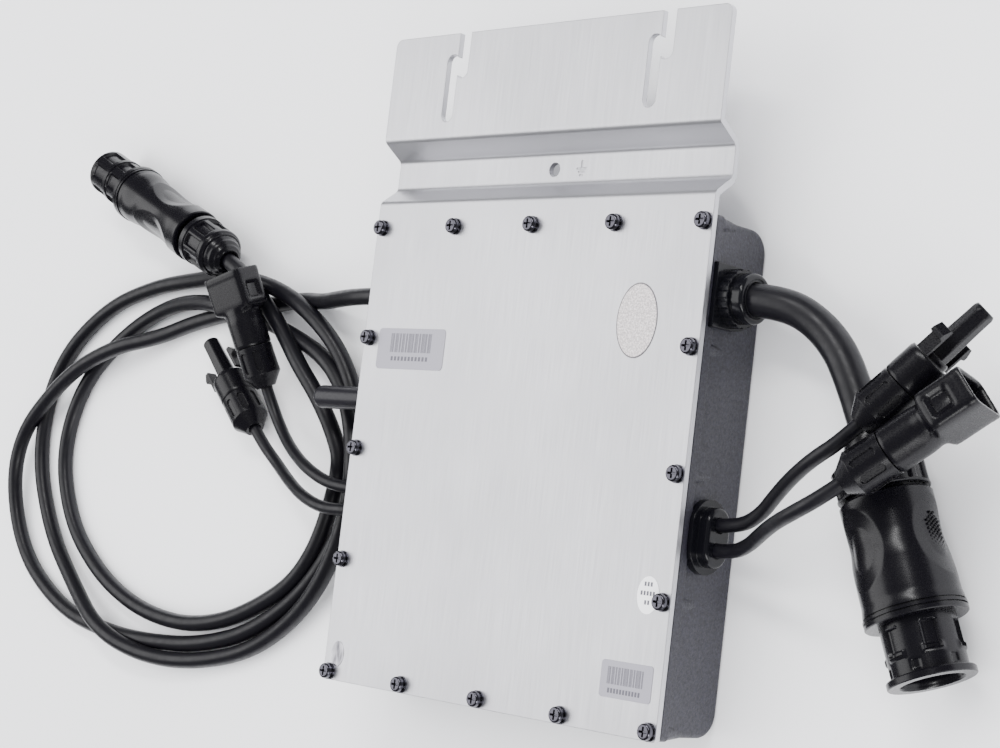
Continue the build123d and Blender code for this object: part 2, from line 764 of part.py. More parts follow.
plug_frame = frame_between(ac_plug_back, ac_plug_ahead)
plug_nut_end = 34.0
plug_body_end = 107.0
plug_end = 142.0
plug_stub = 9.6
plug_nut_stations = [(0, 6.4), (3, 9.0), (8, 10.6), (10, 12.6), (11, 13.8), (plug_nut_end, 13.8)]
plug_nut = gripped_nut(
    plug_frame, plug_nut_stations, 12, plug_stub, inlet_cable_diameter, 10, 13, plug_nut_end - 3
)
save(plug_nut, "ac_plug_nut")
plug_outline = [(12, plug_stub), (37.5, plug_stub), (37.5, 15.2), (46, 15.0), (60, 14.1), (72, 14.0)]
plug_outline += [(87, 14.8), (101, 16.3), (plug_body_end, 16.6)]
plug_cavity = [(91, 0), (91, 12.6), (plug_body_end + 1, 12.6), (plug_body_end + 1, 0)]
save(turned(plug_frame, stepped(plug_outline), plug_cavity), "ac_plug_body")
barrel_outline = [(91.2, 12.5), (plug_body_end, 12.5), (plug_body_end, 13.4), (plug_end, 13.4)]
barrel_cavity = [(plug_body_end + 2, 0), (plug_body_end + 2, 10.8), (plug_end + 1, 10.8), (plug_end + 1, 0)]
plug_shell = turned(plug_frame, stepped(barrel_outline), barrel_cavity)
with BuildPart() as ac_plug_barrel:
    add(plug_shell.part)
    # Shallow key windows round the barrel and a band groove near its middle.
    with BuildSketch(plug_frame.offset(plug_body_end + 15)):
        Circle(14)
        Circle(12.7, mode=Mode.SUBTRACT)
    extrude(amount=1.4, mode=Mode.SUBTRACT)
    with BuildSketch(plug_frame.offset(plug_body_end + 4)):
        with PolarLocations(13.9, 6):
            Rectangle(1.8, 5)
    extrude(amount=plug_end, mode=Mode.SUBTRACT)
save(ac_plug_barrel, "ac_plug_barrel")
with BuildPart() as ac_plug_pins:
    with BuildSketch(plug_frame.offset(plug_body_end + 2)):
        with PolarLocations(5.4, 4):
            Circle(1.25)
    extrude(amount=plug_end - plug_body_end - 8)
save(ac_plug_pins, "ac_plug_pins")

socket_frame = frame_between(ac_socket_back, ac_socket_ahead)
socket_nut_end = 28.0
socket_body_end = 82.0
socket_end = 107.0
socket_stub = 13.6
socket_nut_stations = [(0, 9.6), (3, 11.0), (8, 12.0), (13, 15.6), (16, 18.6), (19, 19.5)]
socket_nut_stations += [(socket_nut_end, 19.5)]
socket_nut = gripped_nut(
    socket_frame, socket_nut_stations, 16.5, socket_stub, outlet_cable_diameter, 12, 17, 27
)
save(socket_nut, "ac_socket_nut")
socket_outline = [(16.5, socket_stub), (30, socket_stub), (30, 19.3), (34, 19.6), (46, 19.3)]
socket_outline += [(60, 19.7), (74, 20.8), (socket_body_end - 1, 21.3), (socket_body_end, 20.8)]
socket_cavity = [(66, 0), (66, 15.2), (socket_body_end + 1, 15.2), (socket_body_end + 1, 0)]
save(turned(socket_frame, stepped(socket_outline), socket_cavity), "ac_socket_body")
lip_start = socket_end - 3.0
mouth_radius = 11.9
mouth_floor = 70.0
sleeve_outline = [(66.2, 15.1), (socket_body_end, 15.1), (socket_body_end, 15.9), (lip_start, 15.9)]
sleeve_outline += [(lip_start, 18.2), (socket_end, 18.2)]
sleeve_mouth = [(mouth_floor, 0), (mouth_floor, mouth_radius)]
sleeve_mouth += [(socket_end + 1, mouth_radius), (socket_end + 1, 0)]
sleeve = turned(socket_frame, stepped(sleeve_outline), sleeve_mouth)
with BuildPart() as ac_socket_barrel:
    add(sleeve.part)
    with BuildSketch(socket_frame.offset(socket_body_end + 0.5)):
        with PolarLocations(16.5, 3, start_angle=30):
            Rectangle(2.2, 8)
    extrude(amount=11, mode=Mode.SUBTRACT)
save(ac_socket_barrel, "ac_socket_barrel")
with BuildPart() as ac_socket_insert:
    with BuildSketch(socket_frame.offset(mouth_floor)):
        Circle(8.6)
    extrude(amount=30)
    with BuildSketch(socket_frame.offset(mouth_floor + 30)):
        with PolarLocations(5.2, 4):
            Circle(1.4)
    extrude(amount=-24, mode=Mode.SUBTRACT)
save(ac_socket_insert, "ac_socket_insert")

# ---- Cables and leads ----
def cord_tube(route, diameter, name):
    """A round cable along straight runs joined by arcs as large as the runs allow."""
    points = [Vector(*place) for place in route]
    radii = []
    for before, corner, after in zip(points, points[1:], points[2:]):
        half_turn = radians((corner - before).get_angle(after - corner) / 2)
        shorter = min((corner - before).length, (after - corner).length)
        radii.append(0.45 * shorter / tan(half_turn))
    with BuildPart() as tube:
        with BuildLine():
            FilletPolyline(*points, radius=radii)
        with BuildSketch(Plane(origin=points[0], z_dir=points[1] - points[0])):
            Circle(diameter / 2)
        sweep()
    save(tube, name)


outlet_cable_route = [
    (105.0, 79.5, 24.2),
    (132.0, 79.5, 24.2),
    (154.5, 68.2, 20.5),
    (172.0, 46.9, 21.4),
    (187.8, 10.34, 21.4),
]
outlet_lead_a_route = [
    (104.5, -20.0, 24.2),
    (122.0, -20.0, 24.2),
    (137.0, -14.0, 28.8),
    (149.5, -4.5, 35.8),
    (162.5, 3.5, 43.3),
    (175.5, 10.8, 48.8),
    (187.7, 18.2, 49.25),
    (200.24, 32.89, 44.37),
]
outlet_lead_b_route = [
    (104.5, -31.0, 24.2),
    (120.5, -31.0, 24.2),
    (134.5, -27.5, 31.8),
    (147.0, -22.5, 41.3),
    (160.0, -17.5, 50.8),
    (174.0, -12.3, 57.3),
    (187.4, -5.2, 58.3),
    (202.5, 7.12, 54.28),
]
inlet_lead_a_route = [
    (-104.5, -20.0, 24.2),
    (-122.0, -20.0, 24.2),
    (-140.8, -18.4, 24.8),
    (-159.5, -12.3, 23.0),
    (-177.5, -4.2, 18.5),
    (-193.6, 5.9, 13.9),
    (-206.9, 21.3, 12.8),
    (-212.24, 39.39, 19.18),
]
inlet_lead_b_route = [
    (-104.5, -31.0, 24.2),
    (-122.0, -31.0, 24.2),
    (-141.8, -31.7, 24.8),
    (-161.0, -26.8, 23.0),
    (-179.5, -19.2, 17.8),
    (-196.6, -10.6, 12.4),
    (-213.5, 0.4, 11.0),
    (-227.68, 14.32, 11.0),
]
inlet_cable_start_route = [
    (-106.0, 79.5, 24.2),
    (-131.0, 79.5, 24.2),
    (-155.0, 79.2, 18.0),
    (-179.5, 78.3, 9.5),
    (-203.6, 80.4, 4.5),
]
inlet_cable_end_route = [
    (-150.6, -9.6, 7.0),
    (-157.6, 9.4, 10.5),
    (-169.6, 27.4, 14.0),
    (-186.6, 43.9, 15.5),
    (-204.1, 61.4, 14.0),
    (-223.6, 78.9, 14.5),
    (-242.7, 96.4, 20.67),
    (-260.94, 104.18, 20.0),
]
cord_tube(outlet_cable_route, outlet_cable_diameter, "ac_outlet_cable")
cord_tube(outlet_lead_a_route, lead_diameter, "dc_outlet_lead_a")
cord_tube(outlet_lead_b_route, lead_diameter, "dc_outlet_lead_b")
cord_tube(inlet_lead_a_route, lead_diameter, "dc_inlet_lead_a")
cord_tube(inlet_lead_b_route, lead_diameter, "dc_inlet_lead_b")
cord_tube(inlet_cable_start_route, inlet_cable_diameter, "ac_inlet_cable_start")
cord_tube(inlet_cable_end_route, inlet_cable_diameter, "ac_inlet_cable_end")

# The inlet cable's coil, drawn as one flat ring round all its turns.
coil_outside = [
    (-121.6, -14.6),
    (-131.6, 40.4),
    (-189.6, 86.4),
    (-265.6, 89.4),
    (-363.6, 84.4),
    (-435.6, 42.4),
    (-466.6, -24.6),
    (-443.6, -84.6),
    (-378.6, -119.6),
    (-293.6, -132.6),
    (-203.6, -123.6),
    (-143.6, -84.6),
]
coil_inside = [
    (-163.6, -14.6),
    (-175.6, 25.4),
    (-228.6, 60.4),
    (-278.6, 62.4),
    (-328.6, 46.4),
    (-381.6, 20.4),
    (-395.6, -24.6),
    (-383.6, -59.6),
    (-343.6, -84.6),
    (-283.6, -95.6),
    (-218.6, -87.6),
    (-173.6, -61.6),
]
coil_height = 12.5
with BuildPart() as ac_inlet_cable_coil:
    with BuildSketch():
        with BuildLine():
            Spline(*coil_outside, periodic=True)
        make_face()
        with BuildLine():
            Spline(*coil_inside, periodic=True)
        make_face(mode=Mode.SUBTRACT)
    extrude(amount=coil_height)
save(ac_inlet_cable_coil, "ac_inlet_cable_coil")
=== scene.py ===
import json
from math import cos, degrees, pi, radians, sin

import bmesh
import bpy
from mathutils import Matrix, Vector


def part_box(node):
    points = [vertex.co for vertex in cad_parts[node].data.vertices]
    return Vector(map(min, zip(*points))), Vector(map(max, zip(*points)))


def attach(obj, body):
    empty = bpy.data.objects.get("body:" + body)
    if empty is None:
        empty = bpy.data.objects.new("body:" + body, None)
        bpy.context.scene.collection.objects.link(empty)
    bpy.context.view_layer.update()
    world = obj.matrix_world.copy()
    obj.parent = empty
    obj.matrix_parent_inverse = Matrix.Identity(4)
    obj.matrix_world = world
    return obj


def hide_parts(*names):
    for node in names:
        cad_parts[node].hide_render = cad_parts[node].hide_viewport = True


# A twin-input solar microinverter, lying on its back with its cables beside it.
# Lengths are in metres, in the frame's axes: +Z out of the back, +Y to the slotted flange.
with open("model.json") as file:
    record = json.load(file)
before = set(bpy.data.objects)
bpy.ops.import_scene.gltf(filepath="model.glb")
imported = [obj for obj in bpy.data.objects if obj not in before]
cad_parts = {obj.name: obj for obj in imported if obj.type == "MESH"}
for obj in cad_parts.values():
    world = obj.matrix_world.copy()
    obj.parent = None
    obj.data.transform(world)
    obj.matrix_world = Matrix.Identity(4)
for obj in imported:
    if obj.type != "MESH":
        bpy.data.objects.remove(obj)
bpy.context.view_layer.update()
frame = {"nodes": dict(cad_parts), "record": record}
MM = 0.001


# ---- Camera: a 75 mm lens, from the right and above, tilted with the plate ----
def make_camera():
    view = Vector((-0.689, 0.078, -0.721)).normalized()
    up = Vector((-0.031, 0.990, 0.137))
    right = view.cross(up).normalized()
    up = right.cross(view)
    turn = Matrix((right, up, -view)).transposed()
    lens = bpy.data.cameras.new("camera")
    lens.lens = 75.5
    lens.sensor_width = 36
    lens.clip_start = 0.01
    camera = bpy.data.objects.new("camera", lens)
    camera.matrix_world = Matrix.Translation((0.66717, -0.03671, 0.75224)) @ turn.to_4x4()
    bpy.context.collection.objects.link(camera)
    bpy.context.scene.camera = camera


make_camera()


# ---- Colour and node helpers ----
def srgb(code):
    """An sRGB hex code as a linear colour with alpha."""
    channels = [int(code[i : i + 2], 16) / 255 for i in (1, 3, 5)]
    return [c / 12.92 if c <= 0.04045 else ((c + 0.055) / 1.055) ** 2.4 for c in channels] + [1.0]


class Shader:
    """A material with a Principled shader, and short ways to add and join nodes."""

    def __init__(self, name, colour, roughness, metallic=0.0):
        self.material = bpy.data.materials.new(name)
        self.material.use_nodes = True
        self.tree = self.material.node_tree
        self.main = self.tree.nodes["Principled BSDF"]
        self.set(self.main, "Base Color", srgb(colour) if isinstance(colour, str) else colour)
        self.set(self.main, "Roughness", roughness)
        self.set(self.main, "Metallic", metallic)
        self.place = self.add("ShaderNodeTexCoord").outputs["Object"]

    def add(self, kind, inputs=None, **settings):
        """Adds a node, sets its properties, and fills or links its inputs."""
        node = self.tree.nodes.new(kind)
        for key, value in settings.items():
            setattr(node, key, value)
        for key, value in (inputs or {}).items():
            self.set(node, key, value)
        return node

    def set(self, node, key, value):
        socket = node.inputs[key]
        if isinstance(value, bpy.types.NodeSocket):
            self.tree.links.new(value, socket)
        elif isinstance(value, bpy.types.Node):
            self.tree.links.new(value.outputs[0], socket)
        else:
            socket.default_value = value

    def noise(self, size, detail=2.0, rough=0.5, stretch=None):
        """Noise whose grains are about size metres across."""
        where = self.place
        if stretch:
            where = self.add("ShaderNodeMapping", {"Vector": where, "Scale": stretch})
        settings = {"Vector": where, "Scale": 1 / size, "Detail": detail, "Roughness": rough}
        return self.add("ShaderNodeTexNoise", settings).outputs["Fac"]

    def ramp(self, value, low, high, low_out, high_out):
        """Maps a value range onto two numbers."""
        inputs = {"Value": value, "From Min": low, "From Max": high, "To Min": low_out, "To Max": high_out}
        return self.add("ShaderNodeMapRange", inputs).outputs["Result"]

    def mix(self, amount, first, second):
        """Mixes two colours."""
        node = self.add("ShaderNodeMix", data_type="RGBA")
        self.set(node, 0, amount)
        self.set(node, 6, srgb(first) if isinstance(first, str) else first)
        self.set(node, 7, srgb(second) if isinstance(second, str) else second)
        return node.outputs[2]

    def maths(self, operation, first, second=0.0):
        return self.add("ShaderNodeMath", {0: first, 1: second}, operation=operation).outputs[0]

    def surface(self, height=None, depth=0.0, strength=1.0, edge=0.0):
        """Rounded edges, then a bump of the given depth in metres."""
        normal = self.add("ShaderNodeBevel", {"Radius": edge}, samples=4).outputs[0] if edge else None
        if height is not None:
            bump = self.add("ShaderNodeBump", {"Height": height, "Distance": depth, "Strength": strength})
            if normal:
                self.set(bump, "Normal", normal)
            normal = bump.outputs[0]
        self.set(self.main, "Normal", normal)


# ---- Materials ----
def powder_coat():
    # Die-cast aluminium under a textured black polyester powder coat: fine orange-peel grain.
    s = Shader("powder_coat", "#2B2A33", 0.5)
    grain = s.noise(0.0011, 3.0, 0.6)
    s.set(s.main, "Base Color", s.mix(s.ramp(grain, 0.35, 0.7, 0, 1), "#121119", "#282733"))
    s.set(s.main, "Roughness", s.ramp(s.noise(0.0016), 0.3, 0.7, 0.38, 0.56))
    s.surface(grain, 0.0004, 0.55, edge=0.0006)
    return s.material


def anodised_sheet():
    # Clear-anodised aluminium sheet: faint rolling lines along its length and soft blotches.
    s = Shader("anodised_sheet", "#C9C8CE", 0.36, 0.92)
    lines = s.noise(0.0006, 3.0, 0.6, stretch=(1.0, 0.02, 1.0))
    clouds = s.noise(0.06, 2.0)
    tone = s.mix(s.ramp(clouds, 0.3, 0.7, 0, 1), "#BEBEC2", "#C9C9CD")
    s.set(s.main, "Base Color", s.mix(s.ramp(lines, 0.3, 0.75, 0, 0.25), tone, "#B9B8C0"))
    s.set(s.main, "Roughness", s.ramp(lines, 0.3, 0.7, 0.33, 0.42))
    s.surface(lines, 0.00004, 0.4, edge=0.0005)
    return s.material


def stainless():
    # Bright stainless steel, machine polished, with fine turning marks.
    s = Shader("stainless", "#4E4D54", 0.2, 1.0)
    marks = s.noise(0.0004, 2.0)
    s.set(s.main, "Roughness", s.ramp(marks, 0.3, 0.7, 0.14, 0.28))
    s.surface(marks, 0.00002, 0.3, edge=0.0003)
    return s.material


def nylon(name, colour="#0D0C11", roughness=0.3, grain=0.0005, depth=0.00004, edge=0.0005):
    """Moulded glass-filled nylon: satin, with a faint mould texture."""
    s = Shader(name, colour, roughness)
    texture = s.noise(grain, 3.0)
    s.set(s.main, "Roughness", s.ramp(texture, 0.3, 0.7, roughness - 0.05, roughness + 0.09))
    s.set(s.main, "Specular IOR Level", 0.27)
    s.surface(texture, depth, 0.5, edge=edge)
    return s.material


def cable_jacket():
    # Extruded TPE sheath: black with a blue-violet cast, satin, drawn slightly uneven.
    s = Shader("cable_jacket", "#0D0C12", 0.33)
    drawn = s.noise(0.004, 2.0)
    s.set(s.main, "Roughness", s.ramp(drawn, 0.3, 0.7, 0.34, 0.46))
    s.set(s.main, "Specular IOR Level", 0.3)
    s.surface(s.noise(0.0012, 3.0), 0.00008, 0.4)
    return s.material


def plain(name, colour, roughness=0.5, metallic=0.0, grain=0.001):
    """A simple moulded or plated finish with a light grain."""
    s = Shader(name, colour, roughness, metallic)
    texture = s.noise(grain, 2.0)
    s.set(s.main, "Roughness", s.ramp(texture, 0.3, 0.7, roughness - 0.06, roughness + 0.06))
    s.surface(texture, 0.00003, 0.4, edge=0.0002)
    return s.material


MATERIALS = {
    "case_paint": powder_coat(),
    "plate_metal": anodised_sheet(),
    "screw_steel": stainless(),
    "gasket_rubber": plain("gasket_rubber", "#101014", 0.7),
    "gland_plastic": nylon("gland_nylon", "#0B0B0F", 0.16, edge=0.0007),
    "seal_rubber": plain("seal_rubber", "#15151A", 0.6),
    "cable_jacket": cable_jacket(),
    "dc_plastic": nylon("dc_nylon", "#09080D", 0.27, grain=0.0007, depth=0.000012, edge=0.0006),
    "ac_plastic": nylon("ac_nylon", "#09080D", 0.24, depth=0.000012, edge=0),
    "antenna_plastic": nylon("antenna_tube", "#1A191E", 0.3),
    "label_film": plain("label_film", "#8E8C95", 0.4),
    "sticker_paper": plain("sticker_paper", "#FBFBFC", 0.5),
    "contact_metal": plain("tinned_contact", "#C9C7C0", 0.25, 1.0),
    "board_laminate": plain("board_laminate", "#17452A", 0.35),
    "ferrite": plain("ferrite", "#2A2A2C", 0.7),
    "winding_tape": plain("winding_tape", "#C79B2A", 0.4),
    "can_sleeve": plain("can_sleeve", "#20263A", 0.35),
    "film_box": plain("film_box", "#8A5A1E", 0.35),
    "moulded_epoxy": plain("moulded_epoxy", "#141416", 0.6),
    "terminal_plastic": plain("terminal_plastic", "#1E6B35", 0.4),
}


def finish_node(node, material):
    """Gives a CAD node one material."""
    mesh = frame["nodes"][node].data
    mesh.materials.clear()
    mesh.materials.append(material)


for part in frame["record"]["subparts"]:
    finish_node(part["node"], MATERIALS[part["material_slot"]])


def foil_label():
    # Brushed silver foil with a sandy speckle and a fine dark line round its edge.
    low, high = (Vector(corner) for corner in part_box("oval_label"))
    middle = (low + high) / 2
    s = Shader("foil_label", "#D9D3D3", 0.42, 0.35)
    apart = s.add("ShaderNodeSeparateXYZ", {"Vector": s.place}).outputs
    across = s.maths("DIVIDE", s.maths("SUBTRACT", apart[0], middle.x), (high.x - low.x) / 2)
    along = s.maths("DIVIDE", s.maths("SUBTRACT", apart[1], middle.y), (high.y - low.y) / 2)
    reach = s.maths("ADD", s.maths("POWER", across, 2.0), s.maths("POWER", along, 2.0))
    line = s.maths("MULTIPLY", s.maths("GREATER_THAN", reach, 0.925), 0.85)
    speckle = s.ramp(s.noise(0.0009, 4.0, 0.7), 0.42, 0.62, 0, 1)
    face = s.mix(speckle, "#A9A2A3", "#E4DDDC")
    s.set(s.main, "Base Color", s.mix(line, face, "#3A3940"))
    s.surface(speckle, 0.00002, 0.4)
    return s.material


finish_node("oval_label", foil_label())


def sticker_film():
    # White paper by the outlet wall; a silver seal by the inlet wall, its colour carrying painted sheen.
    s = Shader("sticker_film", "#F7F7F9", 0.42)
    across = s.add("ShaderNodeSeparateXYZ", {"Vector": s.place}).outputs[0]
    silver = s.maths("LESS_THAN", across, 0.0)
    # Painted sheen: wide streaks darken and lighten the silver's colour in place of reflections; the same
    # streaks also give a faint real bump.
    painted_sheen_streaks = s.ramp(s.noise(0.004, 2.0, stretch=(1.0, 0.3, 1.0)), 0.35, 0.65, 0, 1)
    s.set(s.main, "Base Color", s.mix(silver, "#F7F7F9", s.mix(painted_sheen_streaks, "#5F5E64", "#B9B8BE")))
    s.set(s.main, "Metallic", silver)
    s.set(s.main, "Roughness", s.ramp(silver, 0, 1, 0.5, 0.2))
    s.surface(painted_sheen_streaks, 0.0001, 0.4)
    return s.material


finish_node("seal_stickers", sticker_film())


def finish_piece(name, form, material, smooth=True, body="inverter"):
    """Turns a bmesh into a piece that rides on a body and takes a material."""
    mesh = bpy.data.meshes.new(name)
    form.to_mesh(mesh)
    form.free()
    mesh.materials.append(material)
    if smooth:
        mesh.shade_smooth()
    piece = bpy.data.objects.new(name, mesh)
    bpy.context.collection.objects.link(piece)
    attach(piece, body)
    return piece


# ---- AC connectors: turned housings with pressed grips, windows and bands ----
class Axis:
    """A line from a back point to a front point, with stations along it in millimetres."""

    def __init__(self, back, front, roll=0.0):
        self.back = Vector(back)
        self.roll = radians(roll)
        self.along = (Vector(front) - self.back).normalized()
        self.side = self.along.cross(Vector((0, 0, 1))).normalized()
        self.over = self.side.cross(self.along)

    def place(self, station, radius, angle):
        outward = self.side * cos(angle + self.roll) + self.over * sin(angle + self.roll)
        return self.back + (self.along * station + outward * radius) * MM


SHARP_EDGE = radians(38)
# Presses move only points farther from the axis than these, in mm.
AC_PRESSED_FROM = 8.0
MOUTH_PRESSED_FROM = 12.9


def ease_over(share):
    """Takes 0 to 1 onto 0 to 1 with level ends."""
    return (1 - cos(pi * share)) / 2


def close_rings(form, rings):
    """Joins each ring of points to the next, and the last to the first."""
    around = len(rings[0])
    for back, front in zip(rings, rings[1:] + rings[:1]):
        for index in range(around):
            after = (index + 1) % around
            form.faces.new((back[index], back[after], front[after], front[index]))
    bmesh.ops.recalc_face_normals(form, faces=form.faces[:])


def eased(outline, step=0.5):
    """Fills an outline with close stations; between two points the radius eases over."""
    filled = [outline[0]]
    for (start, low), (end, high) in zip(outline, outline[1:]):
        count = max(1, round(abs(end - start) / step))
        for index in range(1, count + 1):
            share = index / count
            filled.append((start + (end - start) * share, low + (high - low) * ease_over(share)))
    return filled


def turned_piece(name, axis, outline, body, press=None, around=144):
    """A turned form whose outline may be pressed in: press(station, angle) is millimetres."""
    form = bmesh.new()
    rings = []
    for station, radius in outline:
        ring = []
        for index in range(around):
            angle = 2 * pi * index / around
            inward = press(station, angle) if press and radius > AC_PRESSED_FROM else 0.0
            ring.append(form.verts.new(axis.place(station, radius - inward, angle)))
        rings.append(ring)
    close_rings(form, rings)
    piece = finish_piece(name, form, MATERIALS["ac_plastic"], body=body)
    piece.data.set_sharp_from_angle(angle=SHARP_EDGE)
    return piece


def near(value, middle, half, edge):
    """1 inside a window, easing to 0 over its edge."""
    return min(1.0, max(0.0, (half + edge - abs(value - middle)) / edge))


def turn_from(angle, places):
    """Degrees from an angle to the nearest of several places round the axis."""
    return min(abs((degrees(angle) - place + 180) % 360 - 180) for place in places)


def windows(station, angle, start, end, count, half_width, depth, first=0.0):
    """Rectangular recesses evenly round the form between two stations."""
    turn = turn_from(angle, [first + index * 360 / count for index in range(count)])
    middle = (start + end) / 2
    return depth * near(station, middle, (end - start) / 2 - 0.5, 0.5) * near(turn, 0, half_width, 2.5)


def scoops(station, angle, middle, half_length, half_width, depth, places):
    """Oval thumb scoops pressed into the form."""
    turn = turn_from(angle, places)
    reach = ((station - middle) / half_length) ** 2 + (turn / half_width) ** 2
    return depth * min(1.0, 1.5 * (1 - reach)) if reach < 1 else 0.0


def grip_dots(name, axis, radius, middle, place, body):
    """A lens-shaped patch of small raised dots."""
    form = bmesh.new()
    pitch, row_share, dot = 1.7, 0.87, 0.6
    half_length, half_width = 10.0, 5.6
    for row in range(-6, 7):
        for column in range(-4, 5):
            station = middle + (row + 0.5 * (column % 2)) * pitch
            turn = column * pitch * row_share
            if ((station - middle) / half_length) ** 2 + (turn / half_width) ** 2 > 1:
                continue
            angle = radians(place) + turn / radius
            spot = Matrix.Translation(axis.place(station, radius, angle))
            size = Matrix.Scale(dot * MM, 4)
            bmesh.ops.create_icosphere(form, subdivisions=2, radius=1.0, matrix=spot @ size)
    return finish_piece(name, form, MATERIALS["ac_plastic"], body=body)


def stand_in(node):
    """Hides a CAD node whose place a built piece takes."""
    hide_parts(node)


SOCKET = Axis((0.1813, 0.0254, 0.0214), (0.2237, -0.0728, 0.0214))
PLUG = Axis((-0.2500, 0.0995, 0.0204), (-0.3805, 0.1553, 0.0156))
SOCKET_SCOOPS = (184, 64, 304)
PLUG_SCOOPS = (12, 132, 252)


def socket_press(station, angle):
    """Three thumb scoops on the body, and slots with raised rims round the barrel."""
    inward = scoops(station, angle, 51, 17, 40, 1.5, SOCKET_SCOOPS)
    inward += windows(station, angle, 84.5, 96.5, 6, 11, 1.5, 14)
    inward -= windows(station, angle, 94.0, 97.5, 6, 15, 0.7, 14)
    return inward + windows(station, angle, 98.5, 103.0, 6, 5, 0.8, 44)


def socket_nut_press(station, angle):
    """Twelve grip recesses round the nut."""
    return windows(station, angle, 16.5, 27.5, 12, 8, 1.3)


def plug_press(station, angle):
    """Three thumb scoops on the body."""
    return scoops(station, angle, 66, 19, 42, 1.4, PLUG_SCOOPS)


def plug_barrel_press(station, angle):
    """Two rows of key windows either side of the middle band."""
    inward = windows(station, angle, 110.0, 122.0, 6, 16, 1.4, 30)
    return inward + windows(station, angle, 126.0, 139.5, 6, 16, 1.4, 30)


def plug_nut_press(station, angle):
    """Eight wide grip recesses round the nut."""
    return windows(station, angle, 13.5, 27.0, 8, 13, 1.6)


SOCKET_BODY = [(34, 17.6), (30.2, 17.6), (30.2, 18.7), (31.0, 19.4), (46, 19.2), (58, 20.2), (72, 20.4)]
SOCKET_BODY += [(77.4, 21.0), (77.5, 20.4), (78.2, 20.4), (78.3, 21.4), (79.4, 21.4), (79.5, 20.7)]
SOCKET_BODY += [(80.0, 20.7), (80.1, 21.3), (81.6, 21.3), (82.0, 20.8), (82.0, 15.4), (77.0, 15.4)]
SOCKET_BODY += [(77.0, 14.0), (34.0, 14.0)]
SOCKET_BARREL = [(77.5, 12.2), (77.5, 15.3), (82.2, 15.8), (103.6, 15.8), (103.9, 17.9), (104.4, 18.3)]
SOCKET_BARREL += [(106.6, 18.3), (107.0, 17.9), (107.0, 13.4), (106.2, 12.9), (104.0, 12.2)]
SOCKET_NUT = [(0.4, 7.9), (0.0, 8.4), (0.0, 9.4), (3, 11.0), (8, 12.0), (13, 15.6), (15.4, 18.4)]
SOCKET_NUT += [(16.2, 19.4), (28.0, 19.4), (28.4, 19.0), (28.4, 16.2), (29.3, 16.2), (29.3, 14.0)]
SOCKET_NUT += [(16.8, 14.0), (16.8, 7.9)]
PLUG_BODY = [(40, 12.5), (36.6, 12.5), (36.4, 14.7), (37.0, 15.3), (46, 15.1), (64, 14.0), (84, 14.6)]
PLUG_BODY += [(98.0, 16.0), (101.0, 16.2), (101.1, 15.6), (101.8, 15.6), (101.9, 16.7), (103.2, 16.7)]
PLUG_BODY += [(103.3, 16.0), (103.9, 16.0), (104.0, 16.7), (106.6, 16.7), (107.0, 16.3), (107.0, 13.0)]
PLUG_BODY += [(103.0, 13.0), (103.0, 11.0), (40.0, 11.0)]
PLUG_BARREL = [(104.0, 10.9), (104.0, 12.9), (107.2, 13.4), (122.6, 13.4), (122.7, 13.9), (125.4, 13.9)]
PLUG_BARREL += [(125.5, 13.4), (141.4, 13.4), (142.0, 12.9), (142.0, 11.2), (141.4, 10.9)]
PLUG_NUT = [(0.3, 4.9), (0.0, 5.3), (0.0, 6.2), (2.0, 8.4), (5.0, 10.4), (8.6, 11.6), (8.7, 12.4)]
PLUG_NUT += [(10.6, 13.8), (28.0, 13.9), (28.1, 14.5), (31.6, 14.5), (32.0, 14.1), (32.0, 11.0)]
PLUG_NUT += [(33.2, 11.0), (33.2, 9.8), (12.4, 9.8), (12.4, 4.9)]

for node, axis, outline, press, body in (
    ("ac_socket_nut", SOCKET, SOCKET_NUT, socket_nut_press, "outlet_plug_nut"),
    ("ac_socket_body", SOCKET, SOCKET_BODY, socket_press, "inverter"),
    ("ac_socket_barrel", SOCKET, SOCKET_BARREL, socket_press, "inverter"),
    ("ac_plug_nut", PLUG, PLUG_NUT, plug_nut_press, "plug_nut"),
    ("ac_plug_body", PLUG, PLUG_BODY, plug_press, "inverter"),
    ("ac_plug_barrel", PLUG, PLUG_BARREL, plug_barrel_press, "inverter"),
):
    piece = turned_piece(node.replace("ac_", "grid_"), axis, eased(outline), body, press)
    stand_in(node)
socket_dots = grip_dots("grid_socket_dots", SOCKET, 18.15, 51, 184, "inverter")


# ---- Solar connectors: moulded housings that run from a round barrel to a mouth or a probe ----
def form_reach(wide, high, form, angle):
    """How far a round, block or six-sided section reaches at an angle."""
    if form == "hex":
        return min(wide * cos(pi / 6) / cos(angle % (pi / 3) - pi / 6), wide * 0.96)
    power = {"round": 2, "block": 7}[form]
    return ((abs(cos(angle)) / wide) ** power + (abs(sin(angle)) / high) ** power) ** (-1 / power)


def moulded_piece(name, axis, sections, press=None, around=120):
    """A closed form through sections (station, half width, half height, form), pressed in outside."""
    form = bmesh.new()
    angles = [2 * pi * index / around for index in range(around)]
    first = sections[0]
    rings = [[form.verts.new(axis.place(first[0], form_reach(*first[1:], a), a)) for a in angles]]
    for back, front in zip(sections, sections[1:]):
        count = max(1, round(abs(front[0] - back[0])))
        for index in range(1, count + 1):
            share = index / count
            ease = ease_over(share)
            station = back[0] + (front[0] - back[0]) * share
            ring = []
            for a in angles:
                low = form_reach(*back[1:], a)
                reach = low + (form_reach(*front[1:], a) - low) * ease
                if press and reach > MOUTH_PRESSED_FROM:
                    reach -= press(station, a)
                ring.append(form.verts.new(axis.place(station, reach, a)))
            rings.append(ring)
    close_rings(form, rings)
    return finish_piece(name, form, MATERIALS["dc_plastic"])


def latch_windows(station, angle):
    """The two recesses in the narrow sides of a mouth that catch the fingers' barbs."""
    turn = turn_from(angle, (0, 180))
    return 1.6 * near(station, 52.5, 4.0, 0.9) * near(turn, 0, 17, 3)


